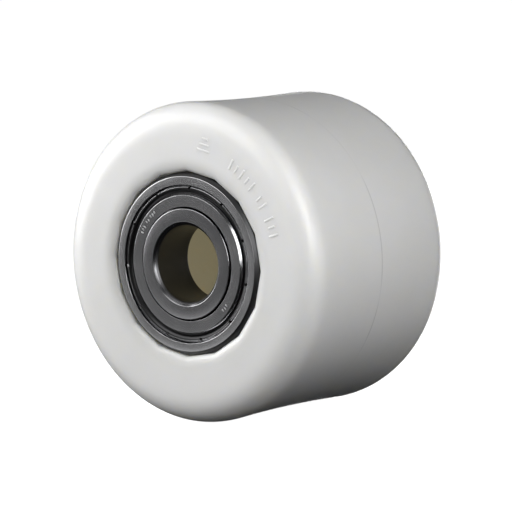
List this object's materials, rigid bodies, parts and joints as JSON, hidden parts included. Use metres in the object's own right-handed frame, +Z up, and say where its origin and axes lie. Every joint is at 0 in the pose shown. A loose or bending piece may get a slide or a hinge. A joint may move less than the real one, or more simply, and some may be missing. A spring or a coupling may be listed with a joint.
{
  "type": "guide roller",
  "caption": "Moulded nylon roller with rounded shoulders, running on metal-shielded ball bearings pressed into its ends, with a plain through bore for a fixed axle.",
  "frame": {"origin": "centre of the roller, on its axis at mid-width", "axes": "+Y along the roller's axis, from the front bearing to the rear bearing; +Z up; +X to the right seen from the front"},
  "size_m": [0.083, 0.06, 0.083],
  "materials": {
    "nylon": "natural white moulded nylon, satin, slightly translucent",
    "ring_steel": "ground bearing steel, thin film of oil",
    "shield_steel": "pressed mild steel sheet, dull",
    "cage_steel": "pressed steel strip, dull",
    "ball_steel": "lapped steel, mirror bright"
  },
  "bodies": {
    "inner_rings": {"front_inner_ring": "ring_steel", "rear_inner_ring": "ring_steel"},
    "roller": {"roller_body": "nylon", "front_outer_ring": "ring_steel", "front_outside_shield": "shield_steel", "front_inside_shield": "shield_steel", "rear_outer_ring": "ring_steel", "rear_outside_shield": "shield_steel", "rear_inside_shield": "shield_steel"},
    "front_cage": {"front_cage_half_a": "cage_steel", "front_cage_half_b": "cage_steel", "front_cage_rivet_1": "cage_steel", "front_cage_rivet_2": "cage_steel", "front_cage_rivet_3": "cage_steel", "front_cage_rivet_4": "cage_steel", "front_cage_rivet_5": "cage_steel", "front_cage_rivet_6": "cage_steel", "front_cage_rivet_7": "cage_steel", "front_cage_rivet_8": "cage_steel"},
    "front_ball_1": {"front_ball_1": "ball_steel"},
    "front_ball_2": {"front_ball_2": "ball_steel"},
    "front_ball_3": {"front_ball_3": "ball_steel"},
    "front_ball_4": {"front_ball_4": "ball_steel"},
    "front_ball_5": {"front_ball_5": "ball_steel"},
    "front_ball_6": {"front_ball_6": "ball_steel"},
    "front_ball_7": {"front_ball_7": "ball_steel"},
    "front_ball_8": {"front_ball_8": "ball_steel"},
    "rear_cage": {"rear_cage_half_a": "cage_steel", "rear_cage_half_b": "cage_steel", "rear_cage_rivet_1": "cage_steel", "rear_cage_rivet_2": "cage_steel", "rear_cage_rivet_3": "cage_steel", "rear_cage_rivet_4": "cage_steel", "rear_cage_rivet_5": "cage_steel", "rear_cage_rivet_6": "cage_steel", "rear_cage_rivet_7": "cage_steel", "rear_cage_rivet_8": "cage_steel"},
    "rear_ball_1": {"rear_ball_1": "ball_steel"},
    "rear_ball_2": {"rear_ball_2": "ball_steel"},
    "rear_ball_3": {"rear_ball_3": "ball_steel"},
    "rear_ball_4": {"rear_ball_4": "ball_steel"},
    "rear_ball_5": {"rear_ball_5": "ball_steel"},
    "rear_ball_6": {"rear_ball_6": "ball_steel"},
    "rear_ball_7": {"rear_ball_7": "ball_steel"},
    "rear_ball_8": {"rear_ball_8": "ball_steel"}
  },
  "joints": [
    {"name": "roller_spin", "type": "hinge", "parent": "inner_rings", "child": "roller", "pos_m": [0, 0, 0], "axis": [0, 1, 0], "continuous": true},
    {"name": "front_cage_spin", "type": "hinge", "parent": "inner_rings", "child": "front_cage", "pos_m": [0, -0.0224, 0], "axis": [0, 1, 0], "continuous": true},
    {"name": "front_ball_1_spin", "type": "hinge", "parent": "front_cage", "child": "front_ball_1", "pos_m": [0, -0.0224, 0.01675], "axis": [0, 1, 0], "continuous": true},
    {"name": "front_ball_2_spin", "type": "hinge", "parent": "front_cage", "child": "front_ball_2", "pos_m": [0.01184, -0.0224, 0.01184], "axis": [0, 1, 0], "continuous": true},
    {"name": "front_ball_3_spin", "type": "hinge", "parent": "front_cage", "child": "front_ball_3", "pos_m": [0.01675, -0.0224, 0], "axis": [0, 1, 0], "continuous": true},
    {"name": "front_ball_4_spin", "type": "hinge", "parent": "front_cage", "child": "front_ball_4", "pos_m": [0.01184, -0.0224, -0.01184], "axis": [0, 1, 0], "continuous": true},
    {"name": "front_ball_5_spin", "type": "hinge", "parent": "front_cage", "child": "front_ball_5", "pos_m": [0, -0.0224, -0.01675], "axis": [0, 1, 0], "continuous": true},
    {"name": "front_ball_6_spin", "type": "hinge", "parent": "front_cage", "child": "front_ball_6", "pos_m": [-0.01184, -0.0224, -0.01184], "axis": [0, 1, 0], "continuous": true},
    {"name": "front_ball_7_spin", "type": "hinge", "parent": "front_cage", "child": "front_ball_7", "pos_m": [-0.01675, -0.0224, 0], "axis": [0, 1, 0], "continuous": true},
    {"name": "front_ball_8_spin", "type": "hinge", "parent": "front_cage", "child": "front_ball_8", "pos_m": [-0.01184, -0.0224, 0.01184], "axis": [0, 1, 0], "continuous": true},
    {"name": "rear_cage_spin", "type": "hinge", "parent": "inner_rings", "child": "rear_cage", "pos_m": [0, 0.0224, 0], "axis": [0, 1, 0], "continuous": true},
    {"name": "rear_ball_1_spin", "type": "hinge", "parent": "rear_cage", "child": "rear_ball_1", "pos_m": [0, 0.0224, 0.01675], "axis": [0, 1, 0], "continuous": true},
    {"name": "rear_ball_2_spin", "type": "hinge", "parent": "rear_cage", "child": "rear_ball_2", "pos_m": [0.01184, 0.0224, 0.01184], "axis": [0, 1, 0], "continuous": true},
    {"name": "rear_ball_3_spin", "type": "hinge", "parent": "rear_cage", "child": "rear_ball_3", "pos_m": [0.01675, 0.0224, 0], "axis": [0, 1, 0], "continuous": true},
    {"name": "rear_ball_4_spin", "type": "hinge", "parent": "rear_cage", "child": "rear_ball_4", "pos_m": [0.01184, 0.0224, -0.01184], "axis": [0, 1, 0], "continuous": true},
    {"name": "rear_ball_5_spin", "type": "hinge", "parent": "rear_cage", "child": "rear_ball_5", "pos_m": [0, 0.0224, -0.01675], "axis": [0, 1, 0], "continuous": true},
    {"name": "rear_ball_6_spin", "type": "hinge", "parent": "rear_cage", "child": "rear_ball_6", "pos_m": [-0.01184, 0.0224, -0.01184], "axis": [0, 1, 0], "continuous": true},
    {"name": "rear_ball_7_spin", "type": "hinge", "parent": "rear_cage", "child": "rear_ball_7", "pos_m": [-0.01675, 0.0224, 0], "axis": [0, 1, 0], "continuous": true},
    {"name": "rear_ball_8_spin", "type": "hinge", "parent": "rear_cage", "child": "rear_ball_8", "pos_m": [-0.01184, 0.0224, 0.01184], "axis": [0, 1, 0], "continuous": true}
  ],
  "couplings": [
    {"joint": "front_cage_spin", "follows": "roller_spin", "ratio": 0.61848},
    {"joint": "front_ball_1_spin", "follows": "roller_spin", "ratio": 1.9916},
    {"joint": "front_ball_2_spin", "follows": "roller_spin", "ratio": 1.9916},
    {"joint": "front_ball_3_spin", "follows": "roller_spin", "ratio": 1.9916},
    {"joint": "front_ball_4_spin", "follows": "roller_spin", "ratio": 1.9916},
    {"joint": "front_ball_5_spin", "follows": "roller_spin", "ratio": 1.9916},
    {"joint": "front_ball_6_spin", "follows": "roller_spin", "ratio": 1.9916},
    {"joint": "front_ball_7_spin", "follows": "roller_spin", "ratio": 1.9916},
    {"joint": "front_ball_8_spin", "follows": "roller_spin", "ratio": 1.9916},
    {"joint": "rear_cage_spin", "follows": "roller_spin", "ratio": 0.61848},
    {"joint": "rear_ball_1_spin", "follows": "roller_spin", "ratio": 1.9916},
    {"joint": "rear_ball_2_spin", "follows": "roller_spin", "ratio": 1.9916},
    {"joint": "rear_ball_3_spin", "follows": "roller_spin", "ratio": 1.9916},
    {"joint": "rear_ball_4_spin", "follows": "roller_spin", "ratio": 1.9916},
    {"joint": "rear_ball_5_spin", "follows": "roller_spin", "ratio": 1.9916},
    {"joint": "rear_ball_6_spin", "follows": "roller_spin", "ratio": 1.9916},
    {"joint": "rear_ball_7_spin", "follows": "roller_spin", "ratio": 1.9916},
    {"joint": "rear_ball_8_spin", "follows": "roller_spin", "ratio": 1.9916}
  ]
}
